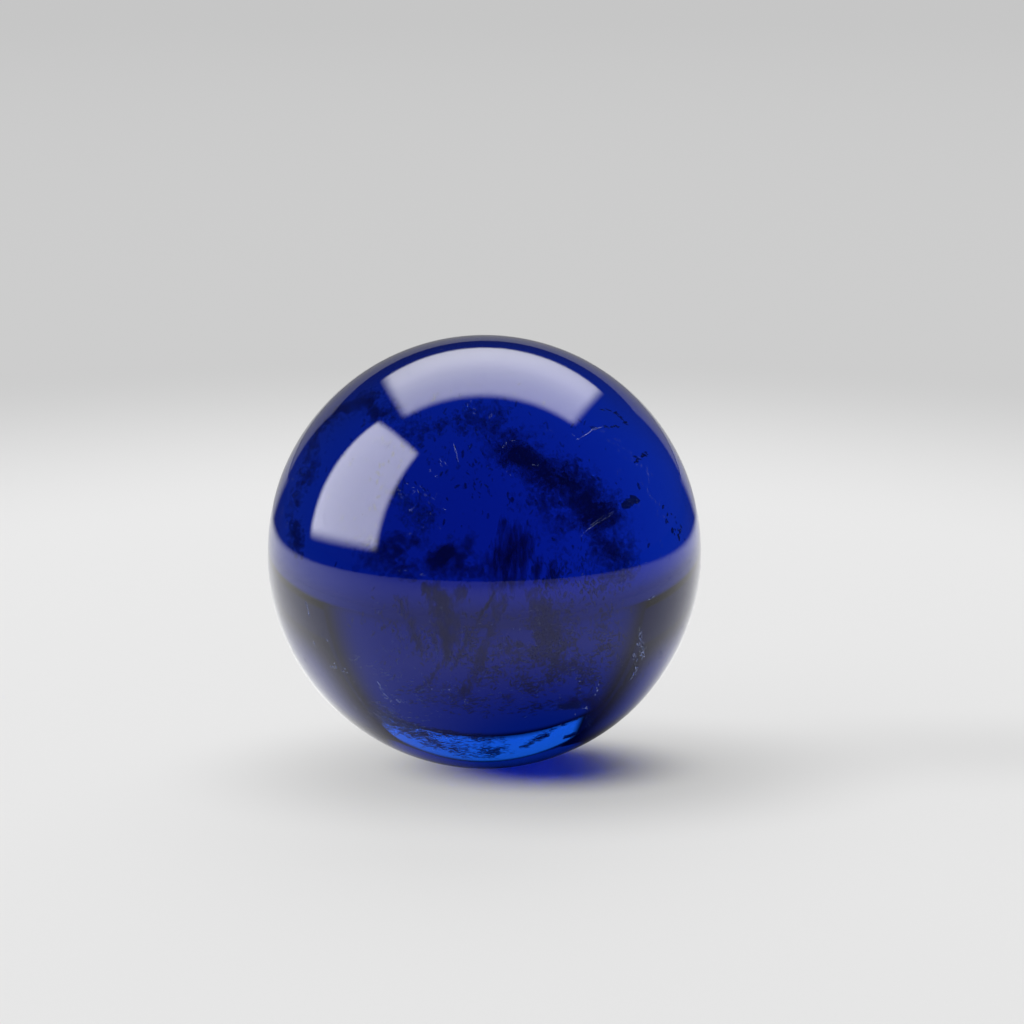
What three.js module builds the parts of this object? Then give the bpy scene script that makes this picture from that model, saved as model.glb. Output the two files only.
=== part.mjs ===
// A solid ball of deep cobalt-blue glass, as large as a common playing marble.
// It is one cast piece, rolled round while the glass is still soft, so it has no seam, hole,
// flat or core. The origin is its centre. +Z is up, and the ball is alike about every axis.

import * as THREE from 'three';

// Driving sizes, in millimetres
const DIAMETER = 15; // across the finished ball
const SURFACE_ERROR = 0.01; // the furthest that a flat facet may lie inside the true sphere

// Blue glass, polished by its own melt
const GLASS_COLOUR = 0x0a2a9c;
const GLASS_ROUGHNESS = 0.04;
const GLASS_METALNESS = 0;

// The ball is an icosahedron whose faces are cut into rows of equal triangles and blown out to
// the sphere, so the facets are nearly alike all over and no pole gathers thin ones.
const ICOSAHEDRON_EDGE = 4 / Math.sqrt(10 + 2 * Math.sqrt(5)); // on a sphere of radius 1
const ICOSAHEDRON_FACE_DEPTH = Math.sqrt(1 - ICOSAHEDRON_EDGE ** 2 / 3); // centre to a face

// Rows of facets along each edge of the icosahedron. The largest facet is in the middle of a
// face. Its corners lie at this angle from its own middle, and its middle lies furthest inside
// the sphere. An even count puts a corner on each axis, so the ball is as wide as its diameter
// along X, Y and Z.
function facetRows(radius, error) {
  const facetAngle = Math.acos(1 - error / radius);
  const oneRowAngle = ICOSAHEDRON_EDGE / Math.sqrt(3) / ICOSAHEDRON_FACE_DEPTH;
  return 2 * Math.ceil(oneRowAngle / facetAngle / 2);
}

function glassMaterial() {
  return new THREE.MeshStandardMaterial({
    color: GLASS_COLOUR,
    roughness: GLASS_ROUGHNESS,
    metalness: GLASS_METALNESS,
  });
}

function glassSphere(diameter, error) {
  const radius = diameter / 2;
  const rowsBetweenCorners = facetRows(radius, error) - 1;
  const geometry = new THREE.IcosahedronGeometry(radius, rowsBetweenCorners);
  const ball = new THREE.Mesh(geometry, glassMaterial());
  ball.name = 'glass_sphere';
  return ball;
}

const part = new THREE.Group();
part.add(glassSphere(DIAMETER, SURFACE_ERROR));

export default part;
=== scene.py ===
import math
import random

import bmesh
import bpy
from mathutils import Euler, Matrix, Vector, noise


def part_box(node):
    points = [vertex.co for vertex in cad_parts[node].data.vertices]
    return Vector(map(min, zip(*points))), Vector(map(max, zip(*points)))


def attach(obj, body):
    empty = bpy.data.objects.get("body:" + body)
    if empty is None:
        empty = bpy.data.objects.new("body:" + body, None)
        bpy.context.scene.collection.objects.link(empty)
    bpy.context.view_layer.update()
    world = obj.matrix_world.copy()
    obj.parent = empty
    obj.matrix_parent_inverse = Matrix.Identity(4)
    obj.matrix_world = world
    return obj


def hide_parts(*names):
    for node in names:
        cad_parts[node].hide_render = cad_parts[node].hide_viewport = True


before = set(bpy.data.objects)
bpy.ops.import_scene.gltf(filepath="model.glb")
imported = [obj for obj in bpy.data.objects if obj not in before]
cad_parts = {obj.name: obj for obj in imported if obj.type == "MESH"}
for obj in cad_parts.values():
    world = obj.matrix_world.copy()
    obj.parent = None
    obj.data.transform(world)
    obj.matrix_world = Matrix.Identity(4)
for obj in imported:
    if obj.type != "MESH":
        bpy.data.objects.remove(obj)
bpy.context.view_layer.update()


# ---------------------------------------------------------------- the glass ball
# A solid ball of clear cobalt-blue glass, with its colour in the glass itself. It is cast in
# one piece and rolled round while it is soft, so its skin sets smooth and shiny.

low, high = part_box("glass_sphere")
CENTRE = (low + high) / 2
RADIUS = (high.x - low.x) / 2
INSIDE_THE_BOX = 0.99999
BALL_SUBDIVISIONS = 7
GLASS_INDEX = 1.52
GLASS_ROUGHNESS = 0.0
COBALT = (0.0, 0.38, 0.82, 1)
ABSORPTION_PER_METRE = 530


class Shade:
    """A socket of a material or of the room, so that masks are added up as they read."""

    def __init__(self, tree, socket=None):
        self.tree = tree
        self.socket = socket

    def add(self, kind, settings=None, sockets=None, output=0):
        """A new node of this kind: its settings are made first, and then its sockets."""
        node = self.tree.nodes.new(kind)
        for name, value in (settings or {}).items():
            setattr(node, name, value)
        for name, value in (sockets or {}).items():
            if isinstance(value, Shade):
                self.tree.links.new(value.socket, node.inputs[name])
            else:
                node.inputs[name].default_value = value
        return Shade(self.tree, node.outputs[output] if node.outputs else None)

    def maths(self, operation, first, second):
        return self.add("ShaderNodeMath", {"operation": operation}, {0: first, 1: second})

    def vectors(self, operation, first, second=(0, 0, 0), output=0):
        return self.add("ShaderNodeVectorMath", {"operation": operation}, {0: first, 1: second}, output)

    def between(self, first, second):
        """The colour that lies this share of the way from first to second. A Mix node takes its
        colours at sockets 6 and 7, and gives the mixed one at output 2."""
        sockets = {"Factor": self, 6: first, 7: second}
        return self.add("ShaderNodeMix", {"data_type": "RGBA"}, sockets, output=2)

    def part(self, axis):
        return self.add("ShaderNodeSeparateXYZ", {}, {0: self}, axis)

    def __add__(self, other):
        return self.maths("ADD", self, other)

    def __radd__(self, other):
        return self.maths("ADD", other, self)

    def __sub__(self, other):
        return self.maths("SUBTRACT", self, other)

    def __rsub__(self, other):
        return self.maths("SUBTRACT", other, self)

    def __mul__(self, other):
        return self.maths("MULTIPLY", self, other)

    def __rmul__(self, other):
        return self.maths("MULTIPLY", other, self)


def new_material(name):
    material = bpy.data.materials.new(name)
    material.use_nodes = True
    material.node_tree.nodes.clear()
    return material, Shade(material.node_tree)


def blue_glass():
    material, shade = new_material("blue_glass")
    skin = shade.add(
        "ShaderNodeBsdfPrincipled",
        {},
        {
            "Base Color": (1, 1, 1, 1),
            "Roughness": GLASS_ROUGHNESS,
            "IOR": GLASS_INDEX,
            "Transmission Weight": 1.0,
        },
    )
    body = shade.add(
        "ShaderNodeVolumeAbsorption", {}, {"Color": COBALT, "Density": ABSORPTION_PER_METRE}
    )
    shade.add("ShaderNodeOutputMaterial", {}, {"Surface": skin, "Volume": body})
    return material


def finished(name, shape, material):
    """The piece that a bmesh becomes, smooth shaded and in the part's own frame."""
    mesh = bpy.data.meshes.new(name)
    shape.to_mesh(mesh)
    shape.free()
    mesh.materials.append(material)
    for face in mesh.polygons:
        face.use_smooth = True
    piece = bpy.data.objects.new(name, mesh)
    bpy.context.scene.collection.objects.link(piece)
    return piece


ball_shape = bmesh.new()
bmesh.ops.create_icosphere(
    ball_shape, subdivisions=BALL_SUBDIVISIONS, radius=RADIUS * INSIDE_THE_BOX
)
bmesh.ops.translate(ball_shape, verts=ball_shape.verts, vec=CENTRE)
ball = finished("blue_ball", ball_shape, blue_glass())
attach(ball, "root")
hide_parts("glass_sphere")


# ---------------------------------------------------------------- the dark moss band
# Grit and soot that the melt carried along before it set, so it is fixed in the glass. It
# hangs as one thick mossy band round a blacker core, from the top of the ball down its
# right side.

DEEPEST_SHARE = 0.965
GRAINS_IN_A_BATCH = 60
SCATTER_SEED = 7
SCATTER_SHARE = 0.6
GRAIN_JAGS = (0.55, 1.35)
COARSE_CLUMPS = 11
FINE_CLUMPS = 27
FINE_SHARE = 0.5
EVEN = -2.0
GRIT_BLACK = (0.0, 0.003, 0.02, 1)
GRIT_BLUE = (0.004, 0.012, 0.05, 1)
GRIT_ROUGHNESS = 0.6
# A faint blue painted glow on the grit, for light scattered in the glass round it.
GRIT_PAINTED_GLOW = (0, 0.06, 1, 1)
GRIT_PAINTED_GLOW_STRENGTH = 0.05
GRIT_PATCH_SCALE = 1400
GRIT_PATCH_DETAIL = 2
GRIT_PATCH_EDGES = (0.35, 0.65)
MOSS_COVER = (0.035, 0.11)
SOOT_COVER = (0.045, 0.14)

draw = random.Random(SCATTER_SEED)


def point_along(bends, share):
    """The point at this share of the way along straight runs between the bends."""
    leg = min(int(share * (len(bends) - 1)), len(bends) - 2)
    return Vector(bends[leg]).lerp(Vector(bends[leg + 1]), share * (len(bends) - 1) - leg)


def add_grains(shape, bends, spread, count, sizes, clump=EVEN, stretch=(1, 1, 0.5), turned=math.pi):
    """Small jagged grains that stray from a bent line as far as spread along X, Y and Z, all in
    ball radii from the centre. A higher clump leaves wider bare gaps between the clumps, and
    EVEN leaves none."""
    batch = bmesh.new()
    gathered = bpy.data.meshes.new("gathered")
    for number in range(count):
        offset = Vector([draw.triangular(-wide, wide) * SCATTER_SHARE
                         + draw.uniform(-wide, wide) * SCATTER_SHARE for wide in spread])
        where = point_along(bends, draw.random()) + offset
        size = sizes[0] * (sizes[1] / sizes[0]) ** draw.random() * RADIUS
        turn = Euler([draw.uniform(-turned, turned) for _ in range(3)]).to_matrix().to_4x4()
        if noise.noise(where * COARSE_CLUMPS) + FINE_SHARE * noise.noise(where * FINE_CLUMPS) > clump:
            where = where * min(1, DEEPEST_SHARE / where.length)
            middle = CENTRE + where * RADIUS
            flat = Matrix.Diagonal((stretch[0] * size, stretch[1] * size, stretch[2] * size, 1))
            place = Matrix.Translation(middle) @ turn @ flat
            made = bmesh.ops.create_icosphere(batch, subdivisions=1, radius=1, matrix=place)
            for vert in made["verts"]:
                vert.co = middle + (vert.co - middle) * draw.uniform(*GRAIN_JAGS)
        if number % GRAINS_IN_A_BATCH == GRAINS_IN_A_BATCH - 1 or number == count - 1:
            batch.to_mesh(gathered)
            shape.from_mesh(gathered)
            batch.clear()
    batch.free()
    bpy.data.meshes.remove(gathered)


def ramp(shade, value, start, end, before=0.0, after=1.0):
    """A smooth change from before to after as the value goes from start to end."""
    return shade.add(
        "ShaderNodeMapRange",
        {"interpolation_type": "SMOOTHSTEP"},
        {"Value": value, "From Min": start, "From Max": end, "To Min": before, "To Max": after},
    )


def soft_patches(shade, scale, detail):
    place = shade.add("ShaderNodeTexCoord", output="Object")
    return shade.add("ShaderNodeTexNoise", {}, {"Vector": place, "Scale": scale, "Detail": detail})


def dark_grit(name, cover):
    """Burnt grit, more or less see-through from patch to patch, with a faint blue painted glow that stands in
    for light scattered in the glass round it.
    """
    material, shade = new_material(name)
    patches = soft_patches(shade, GRIT_PATCH_SCALE, GRIT_PATCH_DETAIL)
    colour = patches.between(GRIT_BLACK, GRIT_BLUE)
    surface = shade.add(
        "ShaderNodeBsdfPrincipled",
        {},
        {
            "Base Color": colour,
            "Roughness": GRIT_ROUGHNESS,
            "Alpha": ramp(shade, patches, *GRIT_PATCH_EDGES, *cover),
            "Emission Color": GRIT_PAINTED_GLOW,
            "Emission Strength": GRIT_PAINTED_GLOW_STRENGTH,
        },
    )
    shade.add("ShaderNodeOutputMaterial", {}, {"Surface": surface})
    return material


def flaw(name, shape, material):
    """A cloud of flaws in the glass, which goes wherever the ball goes."""
    piece = finished(name, shape, material)
    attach(piece, "root")


moss_grit = dark_grit("moss_grit", MOSS_COVER)
soot_grit = dark_grit("soot_grit", SOOT_COVER)

band = [
    (0.03, -0.10, 0.51), (0.08, -0.20, 0.43), (0.20, -0.25, 0.37),
    (0.34, -0.25, 0.30), (0.43, -0.25, 0.17), (0.48, -0.30, 0.02),
]
band_end = [(0.37, -0.25, 0.24), (0.43, -0.25, 0.13), (0.46, -0.28, 0.0)]
band_fringe = [(0.15, -0.25, 0.28), (0.35, -0.25, 0.10)]
low_patch = [(0.23, 0.04, -0.47), (0.32, 0.08, -0.45), (0.31, 0.15, -0.51)]
moss_shape = bmesh.new()
for bends, spread, count, sizes, clump in (
    (band, (0.10, 0.10, 0.09), 2400, (0.006, 0.015), -0.3),
    (band[1:3], (0.08, 0.10, 0.06), 500, (0.008, 0.018), -0.4),
    (band[2:5], (0.09, 0.10, 0.08), 1500, (0.006, 0.015), -0.4),
    (band_end, (0.09, 0.10, 0.08), 1700, (0.006, 0.015), -0.35),
    (band_fringe, (0.10, 0.08, 0.09), 1600, (0.005, 0.012), -0.05),
    (low_patch, (0.03, 0.06, 0.02), 130, (0.008, 0.018), EVEN),
):
    add_grains(moss_shape, bends, spread, count, sizes, clump)
flaw("moss_band", moss_shape, moss_grit)

core = [(0.08, -0.22, 0.42), (0.19, -0.25, 0.37), (0.31, -0.25, 0.30), (0.41, -0.25, 0.20)]
core_shape = bmesh.new()
add_grains(core_shape, core, (0.12, 0.10, 0.11), 2600, (0.005, 0.013), 0.08)
add_grains(core_shape, core[:2], (0.07, 0.08, 0.07), 420, (0.006, 0.014), -0.2)
flaw("moss_core", core_shape, soot_grit)


# ---------------------------------------------------------------- the moss on the left
# The same grit, drawn out thin by the melt. It arches from the left rim over to the top, with
# a loose mesh of it nearer the front, and it too is fixed in the glass.

left_arch = [
    (-0.68, -0.15, 0.30), (-0.62, -0.05, 0.47), (-0.54, 0.0, 0.56),
    (-0.45, -0.07, 0.61), (-0.35, -0.22, 0.59),
]
top_arch = left_arch[3:] + [
    (-0.25, -0.32, 0.55), (-0.15, -0.32, 0.58), (-0.02, -0.30, 0.60), (0.05, -0.20, 0.52),
]
rim_drift = [(-0.76, -0.21, 0.28), (-0.73, -0.32, 0.10)]
front_mesh = [(-0.36, -0.52, 0.40), (-0.28, -0.57, 0.35), (-0.21, -0.62, 0.28), (-0.33, -0.59, 0.25)]
left_shape = bmesh.new()
for bends, spread, count, sizes, clump in (
    (left_arch, (0.07, 0.06, 0.065), 1900, (0.006, 0.016), -0.12),
    (top_arch, (0.06, 0.05, 0.07), 2000, (0.004, 0.013), -0.1),
    (rim_drift, (0.05, 0.05, 0.07), 600, (0.006, 0.016), -0.2),
    (front_mesh, (0.06, 0.05, 0.07), 1300, (0.004, 0.011), 0.0),
):
    add_grains(left_shape, bends, spread, count, sizes, clump)
flaw("moss_left", left_shape, soot_grit)


# ---------------------------------------------------------------- the soot blots
# Thicker spots of soot that sank together in the melt before it set. Most lie in a loose row
# left of the middle of the ball, and two lie low on its right.

blot_shape = bmesh.new()
for bends, spread, count, sizes, clump in (
    ([(-0.31, -0.33, 0.14), (-0.20, -0.36, 0.12)], (0.035, 0.05, 0.02), 80, (0.008, 0.018), EVEN),
    ([(-0.18, -0.37, 0.06), (-0.11, -0.38, 0.10)], (0.045, 0.05, 0.045), 420, (0.008, 0.018), -0.1),
    ([(-0.16, -0.37, 0.08), (-0.13, -0.37, 0.10)], (0.02, 0.03, 0.02), 70, (0.008, 0.016), EVEN),
    ([(-0.10, -0.38, 0.05), (-0.04, -0.37, 0.16)], (0.025, 0.04, 0.03), 90, (0.007, 0.018), EVEN),
    ([(-0.42, -0.31, 0.06), (-0.25, -0.37, 0.03)], (0.06, 0.05, 0.045), 360, (0.006, 0.016), EVEN),
    ([(-0.40, -0.33, 0.10), (-0.02, -0.38, 0.06)], (0.06, 0.05, 0.06), 900, (0.006, 0.016), 0.12),
    ([(-0.16, -0.37, 0.03), (0.0, -0.37, 0.03)], (0.07, 0.05, 0.035), 170, (0.006, 0.016), EVEN),
    ([(-0.14, -0.72, 0.25), (-0.13, -0.72, 0.24)], (0.012, 0.02, 0.012), 12, (0.008, 0.014), EVEN),
    ([(0.31, -0.75, -0.48), (0.40, -0.71, -0.49)], (0.02, 0.02, 0.02), 240, (0.008, 0.018), EVEN),
    ([(0.45, -0.64, -0.57), (0.45, -0.55, -0.65)], (0.02, 0.02, 0.02), 50, (0.008, 0.018), EVEN),
):
    add_grains(blot_shape, bends, spread, count, sizes, clump)
flaw("soot_blots", blot_shape, soot_grit)


# ---------------------------------------------------------------- the upright cords
# Streaks where two flows of the melt folded together and drew the grit out into upright
# threads. They stand near the middle of the ball.

CORD_SPREAD = (0.016, 0.03, 0.012)
CORD_GRAINS = (0.006, 0.014)

upright = dict(stretch=(0.5, 0.5, 2.2), turned=0.14)
cord_shape = bmesh.new()
for foot, head, count in (
    ((0.02, -0.02, -0.12), (0.06, 0.02, 0.09), 100),
    ((0.05, -0.02, -0.12), (0.09, 0.02, 0.08), 100),
    ((0.08, -0.02, -0.11), (0.12, 0.02, 0.05), 80),
    ((0.11, -0.02, -0.10), (0.13, 0.02, 0.0), 55),
    ((0.15, 0.0, -0.09), (0.17, 0.0, -0.02), 40),
    ((0.19, 0.0, -0.09), (0.22, 0.0, -0.02), 40),
):
    add_grains(cord_shape, [foot, head], CORD_SPREAD, count, CORD_GRAINS, **upright)
loose_thread = [(0.03, -0.02, -0.08), (0.11, -0.02, 0.06)]
add_grains(cord_shape, loose_thread, (0.07, 0.03, 0.06), 600, (0.005, 0.012), **upright)
flaw("upright_cords", cord_shape, moss_grit)


# ---------------------------------------------------------------- the veils
# Thin sheets of grit seen nearly edge on, where the melt folded over itself. They spread in a
# V below the cords, and are part of the glass.

VEIL_COVER = (0.07, 0.22)

slanted = dict(stretch=(0.6, 0.6, 1.6), turned=0.4)
veil_shape = bmesh.new()
for bends, spread, count, sizes in (
    ([(-0.19, -0.40, -0.02), (-0.13, -0.41, -0.12), (-0.14, -0.41, -0.22)],
     (0.05, 0.02, 0.02), 260, (0.008, 0.018)),
    ([(-0.07, -0.41, -0.02), (-0.11, -0.41, -0.08)], (0.03, 0.02, 0.02), 90, (0.006, 0.014)),
    ([(-0.14, -0.41, -0.20), (-0.13, -0.40, -0.28), (-0.24, -0.36, -0.42)],
     (0.016, 0.02, 0.01), 150, (0.005, 0.011)),
    ([(-0.30, -0.40, -0.06), (-0.26, -0.40, -0.16), (-0.22, -0.40, -0.26)],
     (0.025, 0.02, 0.01), 130, (0.005, 0.012)),
    ([(0.05, -0.42, -0.10), (0.01, -0.42, -0.21), (-0.02, -0.41, -0.30), (-0.08, -0.38, -0.42)],
     (0.018, 0.02, 0.01), 180, (0.006, 0.012)),
    ([(0.06, -0.42, -0.06), (0.04, -0.42, -0.12)], (0.03, 0.02, 0.02), 70, (0.006, 0.014)),
    ([(0.04, -0.22, -0.07), (-0.04, -0.23, -0.20), (-0.10, -0.22, -0.33)],
     (0.006, 0.01, 0.004), 170, (0.004, 0.008)),
    ([(0.18, -0.40, -0.05), (0.21, -0.40, -0.15), (0.23, -0.39, -0.23)],
     (0.055, 0.02, 0.03), 220, (0.007, 0.016)),
):
    add_grains(veil_shape, bends, spread, count, sizes, **slanted)
flaw("veils", veil_shape, dark_grit("veil_grit", VEIL_COVER))


# ---------------------------------------------------------------- the fine dashes
# Short flat seeds of burnt grit near the skin, drawn out when the ball was rolled. They lie
# thick low on the front of the ball, and thin out over its right half.

DASH_COVER = (0.15, 0.5)

sideways = dict(stretch=(1.9, 0.8, 0.5), turned=0.45)
every_way = dict(stretch=(0.5, 0.8, 1.7), turned=0.8)
dash_shape = bmesh.new()
for bends, spread, count, sizes, clump, lie in (
    ([(0.18, -0.58, 0.05), (0.46, -0.50, 0.03)], (0.15, 0.05, 0.10), 480, (0.004, 0.010), -0.1, every_way),
    ([(0.10, -0.55, -0.22), (0.42, -0.50, -0.20)], (0.22, 0.06, 0.24), 900, (0.004, 0.010), -0.05, every_way),
    ([(0.10, -0.55, -0.25), (0.42, -0.50, -0.25)], (0.20, 0.06, 0.22), 700, (0.004, 0.010), -0.05, sideways),
    ([(0.30, -0.50, -0.40), (0.45, -0.45, -0.10)], (0.10, 0.05, 0.10), 260, (0.004, 0.010), -0.1, every_way),
    ([(-0.25, -0.62, -0.42), (0.20, -0.62, -0.46)], (0.16, 0.06, 0.07), 700, (0.003, 0.009), -0.1, sideways),
    ([(0.05, -0.55, -0.40), (0.35, -0.48, -0.42)], (0.12, 0.06, 0.06), 260, (0.003, 0.009), -0.1, sideways),
    ([(-0.45, -0.50, -0.12), (0.0, -0.55, -0.38)], (0.18, 0.06, 0.18), 420, (0.003, 0.009), 0.05, every_way),
    ([(-0.47, -0.60, -0.54), (-0.36, -0.63, -0.61), (-0.23, -0.62, -0.68)],
     (0.07, 0.17, 0.06), 1700, (0.003, 0.009), -0.1, sideways),
    ([(-0.23, -0.62, -0.68), (-0.06, -0.62, -0.73), (0.08, -0.60, -0.75)],
     (0.07, 0.17, 0.05), 900, (0.003, 0.009), -0.1, sideways),
    ([(-0.50, -0.45, 0.35), (0.0, -0.45, 0.55), (0.50, -0.45, 0.15)],
     (0.25, 0.25, 0.35), 1500, (0.003, 0.010), 0.1, every_way),
    ([(-0.19, -0.69, -0.61), (0.06, -0.68, -0.65)], (0.05, 0.05, 0.035), 420, (0.003, 0.008), -0.1, sideways),
    ([(0.16, -0.60, -0.71), (0.20, -0.63, -0.68)], (0.02, 0.03, 0.010), 40, (0.004, 0.010), EVEN, sideways),
    ([(0.21, -0.64, -0.67), (0.31, -0.65, -0.61)], (0.03, 0.03, 0.02), 170, (0.003, 0.009), 0.05, sideways),
    ([(0.33, -0.66, -0.59), (0.39, -0.65, -0.565)], (0.02, 0.03, 0.012), 60, (0.004, 0.010), -0.3, sideways),
    ([(0.35, -0.56, -0.68), (0.39, -0.56, -0.66)], (0.02, 0.03, 0.014), 80, (0.004, 0.010), EVEN, sideways),
):
    add_grains(dash_shape, bends, spread, count, sizes, clump, **lie)
flaw("fine_dashes", dash_shape, dark_grit("dash_grit", DASH_COVER))


# ---------------------------------------------------------------- the dark marks
# Single specks of burnt grit, thicker than the dashes and so nearly black. They lie loosely
# near the skin over the lower front of the ball, fixed in the glass.

MARK_COVER = (0.3, 0.8)

mark_shape = bmesh.new()
for bends, spread, count, sizes, clump, lie in (
    ([(-0.30, -0.62, -0.15), (0.10, -0.62, -0.30)], (0.20, 0.06, 0.18), 700, (0.003, 0.009), 0.05, every_way),
    ([(0.10, -0.60, -0.20), (0.45, -0.52, -0.30)], (0.20, 0.06, 0.18), 900, (0.003, 0.009), 0.0, every_way),
    ([(0.00, -0.60, -0.25), (0.45, -0.52, -0.30)], (0.20, 0.06, 0.18), 800, (0.003, 0.009), 0.0, sideways),
):
    add_grains(mark_shape, bends, spread, count, sizes, clump, **lie)
flaw("dark_marks", mark_shape, dark_grit("mark_grit", MARK_COVER))


# ---------------------------------------------------------------- the chips under the skin
# A few bigger flakes of burnt furnace lining, each fixed on its own just under the skin on
# the right side of the ball.

CHIP_COVER = (0.5, 0.8)
CHIP_TURNED = 0.7

chip_shape = bmesh.new()
for bends, spread, count, sizes, stretch in (
    ([(0.575, -0.61, 0.355), (0.63, -0.565, 0.375)],
     (0.010, 0.01, 0.006), 18, (0.013, 0.021), (1.4, 0.6, 0.8)),
    ([(0.60, -0.37, 0.47), (0.67, -0.28, 0.49)], (0.012, 0.01, 0.012), 12, (0.005, 0.011), (1.5, 0.6, 0.6)),
    ([(0.73, -0.39, 0.30), (0.83, -0.30, 0.12)], (0.05, 0.02, 0.05), 16, (0.005, 0.013), (0.8, 0.6, 1.3)),
    ([(0.45, -0.46, 0.66), (0.57, -0.38, 0.65)], (0.01, 0.01, 0.006), 16, (0.004, 0.008), (2.0, 0.6, 0.5)),
    ([(0.49, -0.35, 0.72), (0.56, -0.30, 0.69), (0.60, -0.30, 0.64)],
     (0.01, 0.01, 0.012), 18, (0.005, 0.009), (2.0, 0.6, 0.5)),
):
    add_grains(chip_shape, bends, spread, count, sizes, stretch=stretch, turned=CHIP_TURNED)
flaw("chips", chip_shape, dark_grit("chip_flake", CHIP_COVER))


# ---------------------------------------------------------------- the scratches
# Marks of handling in the skin. Each is a row of splinters of crushed clear glass along the
# scratch, so it catches the light where the skin round it is dark.

SPLINTER_RISE = 0.0004
SPLINTER_FLATNESS = 0.35
SPLINTER_JAGS = (0.6, 1.2)
LOOK_AHEAD = 0.05
WIDEST_SHARE = 0.99
SCRATCH_COVER = (0.03, 0.25)
PALE_BLUE = (0.2, 0.3, 0.8, 1)
PALE_WHITE = (0.55, 0.65, 1, 1)
PALE_ROUGHNESS = 0.45
PALE_PATCH_SCALE = 2200
PALE_PATCH_DETAIL = 3
PALE_PATCH_EDGES = (0.3, 0.7)
STRAIGHT = (0.001, 0.001, 0.001)
HANDLING_MARKS = 180
HANDLING_RUN = 0.02
HANDLING_SPREAD = (0.01, 0.01, 0.01)


def add_splinters(shape, bends, spread, count, lengths, width, wander):
    """Flat splinters that lie in the skin along a bent line, in ball radii, and turn off it as
    they wander. None is made at the ball's six widest points, where it would stand out of the
    part's box."""
    for number in range(count):
        share = (number + draw.random()) / count
        scatter = Vector([draw.uniform(-wide, wide) for wide in spread])
        outward = (point_along(bends, share) + scatter).normalized()
        ahead = point_along(bends, min(1, share + LOOK_AHEAD))
        ahead = ahead - point_along(bends, max(0, share - LOOK_AHEAD))
        ahead = ahead + Vector([draw.uniform(-wander, wander) for _ in range(3)]) * ahead.length
        ahead = (ahead - outward * ahead.dot(outward)).normalized()
        turn = Matrix((ahead, outward.cross(ahead), outward)).transposed().to_4x4()
        length = draw.uniform(*lengths) * RADIUS
        if max(map(abs, outward)) > WIDEST_SHARE:
            continue
        flat = Matrix.Diagonal((length, width * RADIUS, SPLINTER_FLATNESS * width * RADIUS, 1))
        middle = CENTRE + outward * (1 + SPLINTER_RISE) * RADIUS
        place = Matrix.Translation(middle) @ turn @ flat
        made = bmesh.ops.create_icosphere(shape, subdivisions=1, radius=1, matrix=place)
        for vert in made["verts"]:
            vert.co = middle + (vert.co - middle) * draw.uniform(*SPLINTER_JAGS)


def pale_glass(name, cover, painted_glow, palest=PALE_WHITE):
    """Glass made pale by fine cracks or air, which shows more or less from spot to spot, and which is given a
    painted glow of its own colour at the strength asked for.
    """
    material, shade = new_material(name)
    patches = soft_patches(shade, PALE_PATCH_SCALE, PALE_PATCH_DETAIL)
    colour = patches.between(PALE_BLUE, palest)
    surface = shade.add(
        "ShaderNodeBsdfPrincipled",
        {},
        {
            "Base Color": colour,
            "Roughness": PALE_ROUGHNESS,
            "Alpha": ramp(shade, patches, *PALE_PATCH_EDGES, *cover),
            "Emission Color": colour,
            "Emission Strength": painted_glow,
        },
    )
    shade.add("ShaderNodeOutputMaterial", {}, {"Surface": surface})
    return material


scratch_shape = bmesh.new()
for bends, spread, count, lengths, width, wander in (
    ([(-0.13, -0.73, 0.67), (-0.11, -0.79, 0.60)], (0.003, 0.003, 0.003), 6, (0.010, 0.018), 0.0018, 0.05),
    ([(-0.19, -0.77, 0.61), (-0.17, -0.79, 0.59)], (0.01, 0.01, 0.01), 3, (0.01, 0.02), 0.0016, 0.2),
    ([(-0.10, -0.42, 0.90), (-0.05, -0.56, 0.83), (0.0, -0.65, 0.76)],
     (0.05, 0.01, 0.02), 12, (0.006, 0.016), 0.0018, 0.5),
    ([(-0.40, -0.78, 0.48), (-0.30, -0.82, 0.49), (-0.22, -0.90, 0.38)],
     (0.06, 0.02, 0.06), 26, (0.005, 0.013), 0.0012, 1.0),
    ([(0.40, -0.87, 0.29), (0.44, -0.84, 0.32), (0.48, -0.81, 0.34), (0.55, -0.75, 0.365)],
     STRAIGHT, 15, (0.012, 0.020), 0.0015, 0.02),
    ([(0.45, -0.83, 0.335), (0.50, -0.79, 0.36), (0.555, -0.75, 0.375)],
     STRAIGHT, 7, (0.012, 0.022), 0.0014, 0.02),
    ([(0.42, -0.61, 0.67), (0.47, -0.55, 0.69), (0.52, -0.50, 0.70)],
     (0.003, 0.003, 0.006), 10, (0.01, 0.03), 0.002, 0.1),
    ([(0.53, -0.52, 0.67), (0.68, -0.50, 0.53), (0.77, -0.56, 0.29)],
     (0.08, 0.03, 0.06), 40, (0.005, 0.014), 0.0016, 1.0),
    ([(0.50, -0.84, 0.10), (0.80, -0.55, 0.05)], (0.05, 0.03, 0.08), 30, (0.005, 0.014), 0.0018, 1.0),
):
    add_splinters(scratch_shape, bends, spread, count, lengths, width, wander)
for _ in range(HANDLING_MARKS):
    outward = Vector([draw.gauss(0, 1) for _ in range(3)]).normalized()
    mark = [outward, outward + Vector([draw.gauss(0, HANDLING_RUN) for _ in range(3)])]
    add_splinters(scratch_shape, mark, HANDLING_SPREAD, 2, (0.004, 0.012), 0.0018, 0.5)
flaw("scratches", scratch_shape, pale_glass("scratch_dust", SCRATCH_COVER, 0.0))


# ---------------------------------------------------------------- the nicks
# Fresh nicks in the skin, low on both sides and along the front. Their crushed glass is clean and pale, with
# a faint painted glow against the dark of the ball.

NICK_COVER = (0.12, 0.65)
# The strength of the nicks' painted glow.
NICK_PAINTED_GLOW = 0.09

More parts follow.
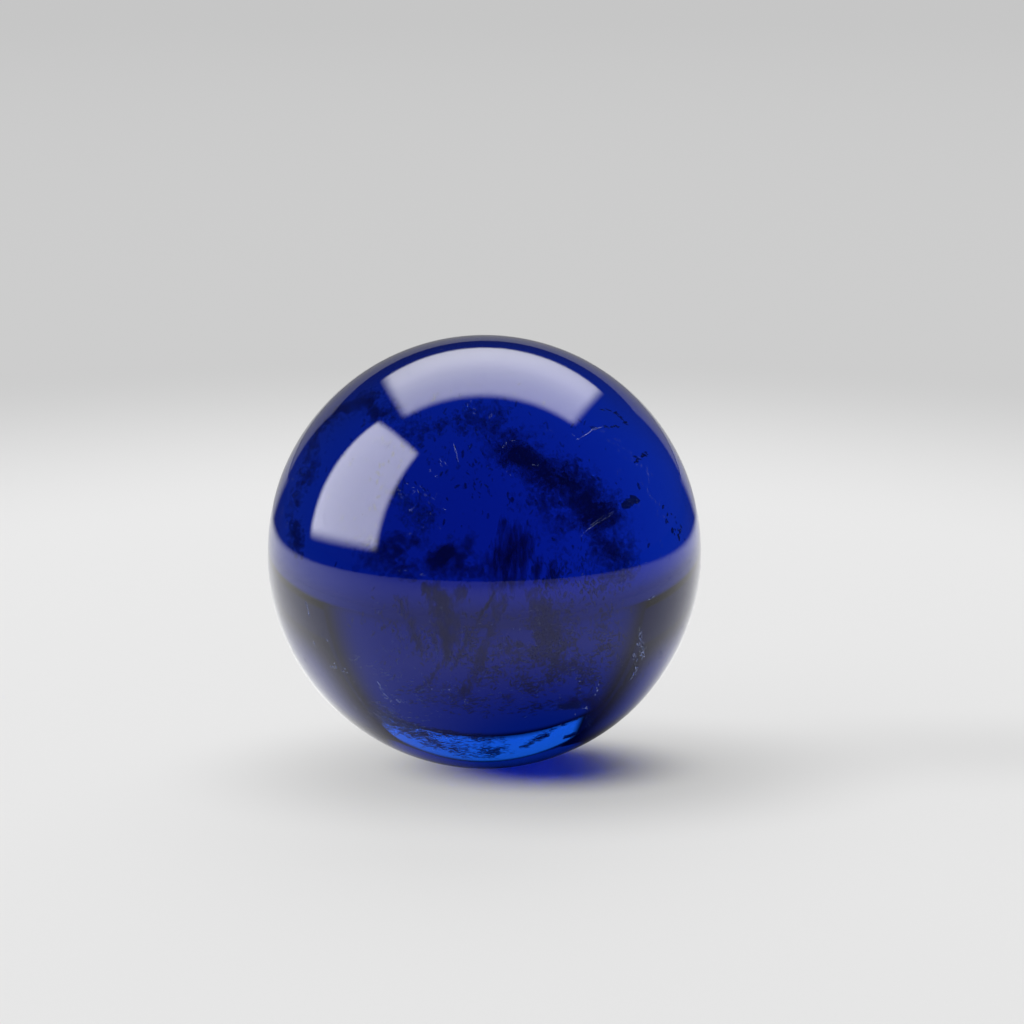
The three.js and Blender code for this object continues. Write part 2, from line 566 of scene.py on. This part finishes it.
nick_shape = bmesh.new()
for bends, spread, count, lengths, width, wander in (
    ([(0.67, -0.72, -0.17), (0.69, -0.68, -0.26), (0.70, -0.65, -0.30)],
     (0.015, 0.01, 0.03), 36, (0.006, 0.015), 0.0025, 0.5),
    ([(0.65, -0.71, -0.27), (0.67, -0.65, -0.36), (0.65, -0.65, -0.41)],
     (0.012, 0.01, 0.02), 26, (0.006, 0.015), 0.0025, 0.4),
    ([(0.78, -0.54, -0.30), (0.79, -0.50, -0.36)], (0.015, 0.01, 0.02), 9, (0.006, 0.013), 0.0020, 0.8),
    ([(0.71, -0.70, -0.03), (0.75, -0.66, -0.02)], (0.002, 0.002, 0.002), 2, (0.010, 0.016), 0.0026, 0.05),
    ([(-0.78, -0.62, -0.06), (-0.77, -0.63, -0.12)], (0.006, 0.006, 0.006), 4, (0.010, 0.018), 0.0022, 0.1),
    ([(-0.70, -0.68, -0.19), (-0.68, -0.69, -0.22)], (0.012, 0.01, 0.01), 4, (0.006, 0.012), 0.0024, 0.4),
    ([(-0.75, -0.61, -0.24), (-0.75, -0.61, -0.27)], (0.005, 0.005, 0.005), 2, (0.006, 0.010), 0.0024, 0.4),
    ([(-0.68, -0.65, -0.34), (-0.60, -0.72, -0.35)], (0.02, 0.01, 0.02), 9, (0.005, 0.010), 0.0024, 1.0),
    ([(-0.47, -0.80, -0.38), (-0.44, -0.80, -0.42)], (0.02, 0.01, 0.03), 8, (0.010, 0.018), 0.0020, 0.1),
    ([(-0.43, -0.77, -0.47), (-0.33, -0.83, -0.45)], (0.02, 0.01, 0.02), 14, (0.005, 0.010), 0.0024, 1.0),
    ([(-0.23, -0.90, -0.37), (-0.14, -0.92, -0.37)], (0.004, 0.004, 0.004), 3, (0.003, 0.005), 0.0026, 1.0),
    ([(-0.08, -0.90, -0.41), (-0.08, -0.89, -0.45)], (0.008, 0.004, 0.004), 5, (0.003, 0.007), 0.0024, 0.6),
    ([(-0.06, -0.99, -0.10), (-0.05, -0.99, -0.12)], (0.008, 0.004, 0.008), 3, (0.003, 0.005), 0.0020, 1.0),
    ([(0.43, -0.74, -0.51), (0.45, -0.72, -0.52)], (0.006, 0.006, 0.006), 4, (0.005, 0.009), 0.0034, 1.0),
    ([(0.41, -0.84, -0.35), (0.42, -0.80, -0.44)], (0.006, 0.006, 0.006), 3, (0.003, 0.005), 0.0026, 1.0),
    ([(0.49, -0.77, -0.39), (0.49, -0.76, -0.45)], (0.008, 0.008, 0.008), 6, (0.006, 0.012), 0.0022, 0.3),
):
    add_splinters(nick_shape, bends, spread, count, lengths, width, wander)
flaw("nicks", nick_shape, pale_glass("nick_dust", NICK_COVER, NICK_PAINTED_GLOW))


# ---------------------------------------------------------------- the pale seeds
# Tiny bubbles that the melt kept, drawn flat near the skin. They lie between the fine dashes, thickest low on
# the left of the ball, and have a faint painted glow.

SEED_COVER = (0.04, 0.2)
# The strength of the seeds' painted glow.
SEED_PAINTED_GLOW = 0.1
SEED_PALEST = (0.35, 0.45, 1, 1)
SEED_CLUMP = -0.1

seed_shape = bmesh.new()
for bends, spread, count, sizes, lie in (
    ([(-0.47, -0.60, -0.52), (-0.36, -0.63, -0.60), (-0.20, -0.63, -0.68)],
     (0.08, 0.17, 0.07), 900, (0.003, 0.008), sideways),
    ([(-0.50, -0.60, -0.30), (-0.20, -0.66, -0.45)], (0.12, 0.06, 0.10), 160, (0.003, 0.008), sideways),
    ([(-0.35, -0.66, -0.25), (0.40, -0.60, -0.30)], (0.25, 0.06, 0.22), 450, (0.002, 0.006), sideways),
    ([(-0.35, -0.66, -0.25), (0.40, -0.60, -0.30)], (0.25, 0.06, 0.22), 450, (0.002, 0.006), every_way),
):
    add_grains(seed_shape, bends, spread, count, sizes, SEED_CLUMP, **lie)
flaw("pale_seeds", seed_shape, pale_glass("seed_skin", SEED_COVER, SEED_PAINTED_GLOW, SEED_PALEST))


# ---------------------------------------------------------------- the floor
# A pale matt floor that the ball stands on. Near the ball it takes the lamps' light and the real shadow of
# the ball, with a painted shade of the ball laid over it, and further out it goes level in tone and fades
# into the pale grey room.

FLOOR_RADIUS = 1.2
FLOOR_SIDES = 128
FLOOR_COLOUR = 0.86
LIT_FLOOR = 0.785
# The painted shade by the ball, and the long faint painted shade beside it, laid over the lamps' real shadow.
# Here and below, a ramp gives where it starts and ends, and then the values before and after it.
SHADE_CENTRE = (0.0020, -0.0017, 0)
SHADE_FLATTENED = 1.99
SHADE_ENDS = 0.0141
SHADE_DEPTH = 0.367
LONG_SHADE_CENTRE = (0.018, 0.0004, 0)
LONG_SHADE_FLATTENED = 3.4
LONG_SHADE_ENDS = 0.017
LONG_SHADE_DEPTH = 0.08
SHADE_THROUGH_GLASS = (0.0065, 0.016, 0.5, 0)
# The even level that takes over from the lamps' light away from the foot of the ball. It is a glow, which
# carries the painted shade, and through the ball the painted brighter side too.
FILL_SHARE = 0.866
FILL_CENTRE = (0.0022, -0.0009, 0)
FILL_FLATTENED = 1.89
FILL_STARTS = (0.0017, 0.0063)
# The grey that the floor fades into.
PALE_GREY = 0.565
FLOOR_TURNS_GREY = (0.036, 0.078)
BACKDROP_FOOT = 0.61
BACKDROP_DARKENS = (0.06, 0.6)
# The floor as it shows through the ball, with a painted light that makes one side brighter.
BRIGHT_SIDE_THROUGH = (-0.8, 0.6, 0)
BRIGHTER_THROUGH = (0.3, 0.95, -0.1, 0.5)
BRIGHT_SIDE_DIMS = (0.2, 0.6, 0, 0.45)
BRIGHT_SIDE_ENDS = (0.028, 0.065)
FLOOR_ENDS_THROUGH = (0.10, 0.18)
# The floor as the ball's skin mirrors it, which is a painted reflection: a glow with a painted shade by the
# ball and one side brighter, and a dark room past its end.
MIRRORED_SHADE_CENTRE = (0.0022, -0.0035, 0)
MIRRORED_SHADE = (0.0018, 0.0125)
MIRRORED_BRIGHT_SIDE = (-0.35, 0.94, 0)
MIRRORED_LEVELS = (-0.6, 0.7, 0.65, 1.3)
MIRRORED_DIMS = (0.04, 0.2, 1, 0.55)
MIRRORED_ENDS = (0.08, 0.11)
MIRRORED_END_CURVES = 0.94
DARK_ROOM = 0.02
STRAIGHT_BEHIND_DIMS = (0.7, 0.95, 1, 0.72)
FLOOR_BEHIND_RETURNS = (0.02, 0.035, 0, 0.55)
RETURNS_STRAIGHT_BEHIND = (0.80, 0.88)


class Rays:
    """Whether a camera ray, a mirrored ray or a ray through glass looks here, and whether it has
    met a matt surface. A ray through clear glass counts as glossy too, so that is taken off."""

    def __init__(self, shade):
        outputs = shade.add("ShaderNodeLightPath").socket.node.outputs
        bounces = Shade(shade.tree, outputs["Diffuse Depth"])
        self.camera = Shade(shade.tree, outputs["Is Camera Ray"])
        self.through = Shade(shade.tree, outputs["Is Transmission Ray"])
        self.mirrored = Shade(shade.tree, outputs["Is Glossy Ray"]) * (1 - self.through)
        self.matt = bounces.maths("MINIMUM", bounces, 1)


def floor_material():
    """A floor lit by the lamps, which is given its own level for each kind of ray that the
    camera or the ball sees it by."""
    material, shade = new_material("pale_floor")
    rays = Rays(shade)
    direct = (rays.camera + rays.through) * (1 - rays.matt)
    place = shade.add("ShaderNodeTexCoord", output="Object")
    flat = shade.vectors("MULTIPLY", place, (1, 1, 0))
    heading = shade.vectors("NORMALIZE", flat)
    reach = shade.vectors("LENGTH", flat, output="Value")
    behind = place.part("Y")
    straight_behind = heading.part("Y")

    def reach_from(centre, flattened=1):
        """How far a spot lies from this centre, in ovals flattened from front to back."""
        offset = shade.vectors("MULTIPLY", shade.vectors("SUBTRACT", flat, centre), (1, flattened, 1))
        return shade.vectors("LENGTH", offset, output="Value")

    def glow(strength):
        return shade.add("ShaderNodeEmission", {}, {"Color": (1, 1, 1, 1), "Strength": strength})

    # The floor near the ball, with a painted shade of the ball on it, over the lamps' real shadow.
    painted_shade = ramp(shade, reach_from(SHADE_CENTRE, SHADE_FLATTENED), 0, SHADE_ENDS, 1 - SHADE_DEPTH, 1)
    long_reach = reach_from(LONG_SHADE_CENTRE, LONG_SHADE_FLATTENED)
    painted_shade = painted_shade * ramp(shade, long_reach, 0, LONG_SHADE_ENDS, 1 - LONG_SHADE_DEPTH, 1)
    painted_shade = painted_shade * (1 - rays.through * ramp(shade, reach, *SHADE_THROUGH_GLASS))
    seen_colour = FLOOR_COLOUR * (direct * painted_shade + (1 - direct)) * (1 - rays.mirrored)
    lit = shade.add("ShaderNodeBsdfDiffuse", {}, {"Color": seen_colour})
    # Through the ball, one side of the floor gets a painted light, which dims further out on that side.
    to_bright_side = shade.vectors("DOT_PRODUCT", heading, BRIGHT_SIDE_THROUGH, "Value")
    painted_side_tone = 1 + rays.through * ramp(shade, to_bright_side, *BRIGHTER_THROUGH)
    dims = ramp(shade, to_bright_side, *BRIGHT_SIDE_DIMS) * ramp(shade, reach, *BRIGHT_SIDE_ENDS)
    painted_side_tone = painted_side_tone * (1 - rays.through * dims)
    # Away from the foot of the ball a glow with the painted shade takes over from the lamps' light.
    lift = ramp(shade, reach_from(FILL_CENTRE, FILL_FLATTENED), *FILL_STARTS, 0.0, FILL_SHARE)
    filled = glow(LIT_FLOOR * painted_shade * painted_side_tone)
    near = shade.add("ShaderNodeMixShader", {}, {0: direct * lift, 1: lit, 2: filled})

    # The level grey that it fades into.
    distant = ramp(shade, reach, *BACKDROP_DARKENS, BACKDROP_FOOT, PALE_GREY)
    distant = distant * (1 - rays.through * ramp(shade, reach, *FLOOR_ENDS_THROUGH)) * painted_side_tone
    grey = ramp(shade, reach, *FLOOR_TURNS_GREY)
    seen = shade.add("ShaderNodeMixShader", {}, {0: grey, 1: near, 2: glow(distant * direct)})

    # The floor as the ball's skin mirrors it, painted as a glow with its own painted shade and brighter side.
    to_mirrored_side = shade.vectors("DOT_PRODUCT", heading, MIRRORED_BRIGHT_SIDE, "Value")
    level = ramp(shade, to_mirrored_side, *MIRRORED_LEVELS)
    level = level * ramp(shade, reach_from(MIRRORED_SHADE_CENTRE), *MIRRORED_SHADE)
    level = level * ramp(shade, reach, *MIRRORED_DIMS)
    level = level * ramp(shade, reach + MIRRORED_END_CURVES * behind, *MIRRORED_ENDS, 1, DARK_ROOM)
    level = level * ramp(shade, straight_behind, *STRAIGHT_BEHIND_DIMS)
    returns = ramp(shade, behind, *FLOOR_BEHIND_RETURNS)
    returns = returns * ramp(shade, straight_behind, *RETURNS_STRAIGHT_BEHIND)
    painted_mirror_level = level.maths("MAXIMUM", level, returns)
    surface = shade.add("ShaderNodeMixShader", {}, {0: rays.mirrored, 1: seen, 2: glow(painted_mirror_level)})
    shade.add("ShaderNodeOutputMaterial", {}, {"Surface": surface})
    return material


floor_shape = bmesh.new()
bmesh.ops.create_circle(floor_shape, cap_ends=True, segments=FLOOR_SIDES, radius=FLOOR_RADIUS)
bmesh.ops.translate(floor_shape, verts=floor_shape.verts, vec=(0, 0, low.z))
floor = finished("floor", floor_shape, floor_material())


# ---------------------------------------------------------------- the soft panels and cards
# Flat cards that only the ball sees: two lit panels and a pale card that its skin mirrors, and
# the cards that shine through it. The last one throws the bright patch under the ball.

CARD_EDGE = (0.06, 0.06)
CARD_SQUARES = (24, 4)
FULLY_LIT_FROM = 0.5
RIM_SEEN_THROUGH = 0.05


def card_material(name, radiance, colour, for_floor, soft, fades, rim):
    """Light that falls off to the rim over the soft shares of the card's width and height, and
    fades towards its lower half."""
    material, shade = new_material(name)
    rays = Rays(shade)
    across = shade.add("ShaderNodeTexCoord", output="UV")
    edge = 1
    for side, width in zip("XY", soft):
        share = across.part(side)
        edge = edge * (ramp(shade, share, 0, width) * ramp(shade, share, 1 - width, 1, 1, 0))
    edge = edge * ramp(shade, across.part("Y"), 0, FULLY_LIT_FROM, fades, 1)
    level = radiance * edge + rim * (1 - edge)
    strength = level * (rays.matt if for_floor else 1 - rays.matt)
    light = shade.add("ShaderNodeEmission", {}, {"Color": colour, "Strength": strength})
    shade.add("ShaderNodeOutputMaterial", {}, {"Surface": light})
    return material


def hide_from(piece, diffuse=True, shadow=True, glossy=True, transmission=True):
    """Hidden from the camera, and from each kind of ray unless it is named as false."""
    piece.visible_camera = False
    piece.visible_diffuse = not diffuse
    piece.visible_shadow = not shadow
    piece.visible_glossy = not glossy
    piece.visible_transmission = not transmission


def card(name, centre, size, aim, radiance, seen, colour=(1, 1, 1, 1), soft=CARD_EDGE, fades=1.0,
         roll=0.0, bows=(0, 0), narrows=0.0, leans=0.0):
    """A flat card that the ball sees, either mirrored, or through itself, or only by the light
    that it throws on the floor. Its two long edges may bow, its far edge may be narrower, and its
    near edge may lean out on the right."""
    shape = bmesh.new()
    shape.loops.layers.uv.new("UVMap")
    across, along = CARD_SQUARES
    bmesh.ops.create_grid(shape, x_segments=across, y_segments=along, size=0.5, calc_uvs=True)
    bmesh.ops.scale(shape, verts=shape.verts, vec=(size[0], size[1], 1))
    for vert in shape.verts:
        far_share = vert.co.y / size[1] + 0.5
        bow = bows[0] + (bows[1] - bows[0]) * far_share
        vert.co.y += bow * (1 - (2 * vert.co.x / size[0]) ** 2)
        vert.co.y -= leans * (1 - far_share) * max(0, 2 * vert.co.x / size[0])
        vert.co.x *= 1 - narrows * far_share
    turn = Vector(aim).to_track_quat("Z", "Y").to_matrix() @ Matrix.Rotation(roll, 3, "Z")
    bmesh.ops.rotate(shape, verts=shape.verts, cent=(0, 0, 0), matrix=turn)
    bmesh.ops.translate(shape, verts=shape.verts, vec=centre)
    rim = RIM_SEEN_THROUGH if seen == "through" else 0
    glow = card_material(name, radiance, colour, seen == "on the floor", soft, fades, rim)
    piece = finished(name, shape, glow)
    hide_from(piece, glossy=seen != "mirrored", transmission=seen == "mirrored")


card("top_panel", (0.014, 0.148, 0.189), (0.309, 0.236), (-0.006, -0.272, -0.962), 4.85, "mirrored",
     soft=(0.08, 0.11), fades=0.6, bows=(-0.012, 0.0))
card("left_panel", (-0.1972, -0.0109, 0.133), (0.203, 0.246), (0.949, 0.223, -0.221), 7.3, "mirrored",
     soft=(0.10, 0.10), roll=-0.148)
card("back_card_mirrored", (0, 0.30, 0.048), (0.40, 0.11), (0, -1, 0), 0.30, "mirrored")
card("back_card", (0, 0.12, 0.0245), (0.158, 0.073), (0, -1, 0), 0.56, "through",
     soft=(0.18, 0.1), narrows=0.14)
card("back_panel", (0.0048, 0.163, 0.107), (0.172, 0.054), (0, -0.8, -0.6), 5.5, "through",
     colour=(0.8, 1.0, 0.45, 1), soft=(0.06, 0.18), roll=-0.03, bows=(0.003, 0.033), leans=0.016)
card("left_glow", (-0.130, 0.091, 0.085), (0.14, 0.13), (0.722, -0.506, -0.469), 0.6, "through",
     soft=(0.35, 0.35))
card("right_glow", (0.130, 0.091, 0.075), (0.14, 0.12), (-0.722, -0.506, -0.45), 0.45, "through",
     soft=(0.35, 0.35))
card("overhead", (0, 0.0, 0.2), (0.12, 0.08), (0, 0, -1), 2.2, "through", soft=(0.2, 0.2))
card("ceiling", (0, 0.11, 0.24), (0.28, 0.20), (0, -0.3, -0.95), 1.0, "through", soft=(0.1, 0.1))
card("caustic_card", (-0.033, 0.047, 0.19), (0.08, 0.05), (0.16, -0.235, -0.943), 32.0, "on the floor")


# ---------------------------------------------------------------- the wall behind the camera
# Pale cloth hung round the side of the room that the camera stands on, open toward the back.
# It shows only through the ball.

WALL_RADIUS = 0.17
WALL_SIDES = 96
WALL_HEIGHT = 0.16
WALL_LIFT = 0.001
WALL_LIGHT = 0.5
WALL_OPENS = (-0.15, 0.45)
WALL_TOP_FADES = (0.09, 0.15)


def wall_material():
    material, shade = new_material("room_wall")
    rays = Rays(shade)
    place = shade.add("ShaderNodeTexCoord", output="Object")
    heading = shade.vectors("NORMALIZE", place)
    shown = ramp(shade, heading.part("Y"), *WALL_OPENS, 1, 0)
    shown = shown * ramp(shade, place.part("Z"), *WALL_TOP_FADES, 1, 0)
    clear = shade.add("ShaderNodeBsdfTransparent")
    light = shade.add(
        "ShaderNodeEmission", {}, {"Color": (1, 1, 1, 1), "Strength": WALL_LIGHT * (1 - rays.matt)}
    )
    surface = shade.add("ShaderNodeMixShader", {}, {0: shown, 1: clear, 2: light})
    shade.add("ShaderNodeOutputMaterial", {}, {"Surface": surface})
    return material


wall_shape = bmesh.new()
bmesh.ops.create_cone(
    wall_shape,
    cap_ends=False,
    segments=WALL_SIDES,
    radius1=WALL_RADIUS,
    radius2=WALL_RADIUS,
    depth=WALL_HEIGHT,
)
bmesh.ops.translate(wall_shape, verts=wall_shape.verts, vec=(0, 0, low.z + WALL_HEIGHT / 2 + WALL_LIFT))
wall = finished("room_wall", wall_shape, wall_material())
hide_from(wall, transmission=False)


# ---------------------------------------------------------------- the lamps and the room
# Two soft lamps where the two mirrored panels hang, which light the floor and the flaws. The
# room is pale grey where it shows past the floor, and nearly dark to the ball.

AMBIENT = 0.056
DIM_THROUGH_GLASS = 0.1


def lamp(name, centre, size, power):
    """A soft lamp aimed at the ball, which only matt things see."""
    data = bpy.data.lights.new(name, "AREA")
    data.shape = "RECTANGLE"
    data.size, data.size_y = size
    data.energy = power
    piece = bpy.data.objects.new(name, data)
    piece.location = centre
    piece.rotation_mode = "QUATERNION"
    piece.rotation_quaternion = (-Vector(centre)).to_track_quat("-Z", "Y")
    hide_from(piece, diffuse=False, shadow=False)
    bpy.context.scene.collection.objects.link(piece)


lamp("top_lamp", (0.016, 0.147, 0.189), (0.298, 0.196), 0.747)
lamp("left_lamp", (-0.198, -0.0076, 0.135), (0.192, 0.235), 0.377)

world = bpy.data.worlds.new("studio")
world.use_nodes = True
world.node_tree.nodes.clear()
bpy.context.scene.world = world
room = Shade(world.node_tree)
rays = Rays(room)
to_glass = (rays.mirrored + rays.through) * (1 - rays.matt)
dark = to_glass * (DARK_ROOM + DIM_THROUGH_GLASS * rays.through) + (1 - to_glass) * AMBIENT
level = rays.camera * PALE_GREY + (1 - rays.camera) * dark
back = room.add("ShaderNodeBackground", {}, {"Color": (1, 1, 1, 1), "Strength": level})
room.add("ShaderNodeOutputWorld", {}, {"Surface": back})


# ---------------------------------------------------------------- the camera
# A camera with a long lens close to the ball, looking a little down on it. It aims past the
# ball's middle, up and to the right.

LENS = 85
CAMERA_DISTANCE = 0.08394
CAMERA_ELEVATION = math.radians(15)
AIM_RIGHT = 0.000956
AIM_UP = 0.001364
NEAREST_SEEN = 0.005
FURTHEST_SEEN = 3
THIN_GRAINS_IN_A_ROW = 32

back_way = Vector((0, -math.cos(CAMERA_ELEVATION), math.sin(CAMERA_ELEVATION)))
right_way = Vector((1, 0, 0))
up_way = right_way.cross(-back_way)
camera_data = bpy.data.cameras.new("camera")
camera_data.lens = LENS
camera_data.clip_start = NEAREST_SEEN
camera_data.clip_end = FURTHEST_SEEN
camera = bpy.data.objects.new("camera", camera_data)
camera.location = CENTRE + back_way * CAMERA_DISTANCE
aim = CENTRE + right_way * AIM_RIGHT + up_way * AIM_UP
camera.rotation_mode = "QUATERNION"
camera.rotation_quaternion = (aim - camera.location).to_track_quat("-Z", "Y")
bpy.context.scene.collection.objects.link(camera)
bpy.context.scene.camera = camera

# Light goes on through many thin grains before it is lost.
bpy.context.scene.cycles.transparent_max_bounces = THIN_GRAINS_IN_A_ROW
bpy.context.scene.view_settings.view_transform = "Standard"
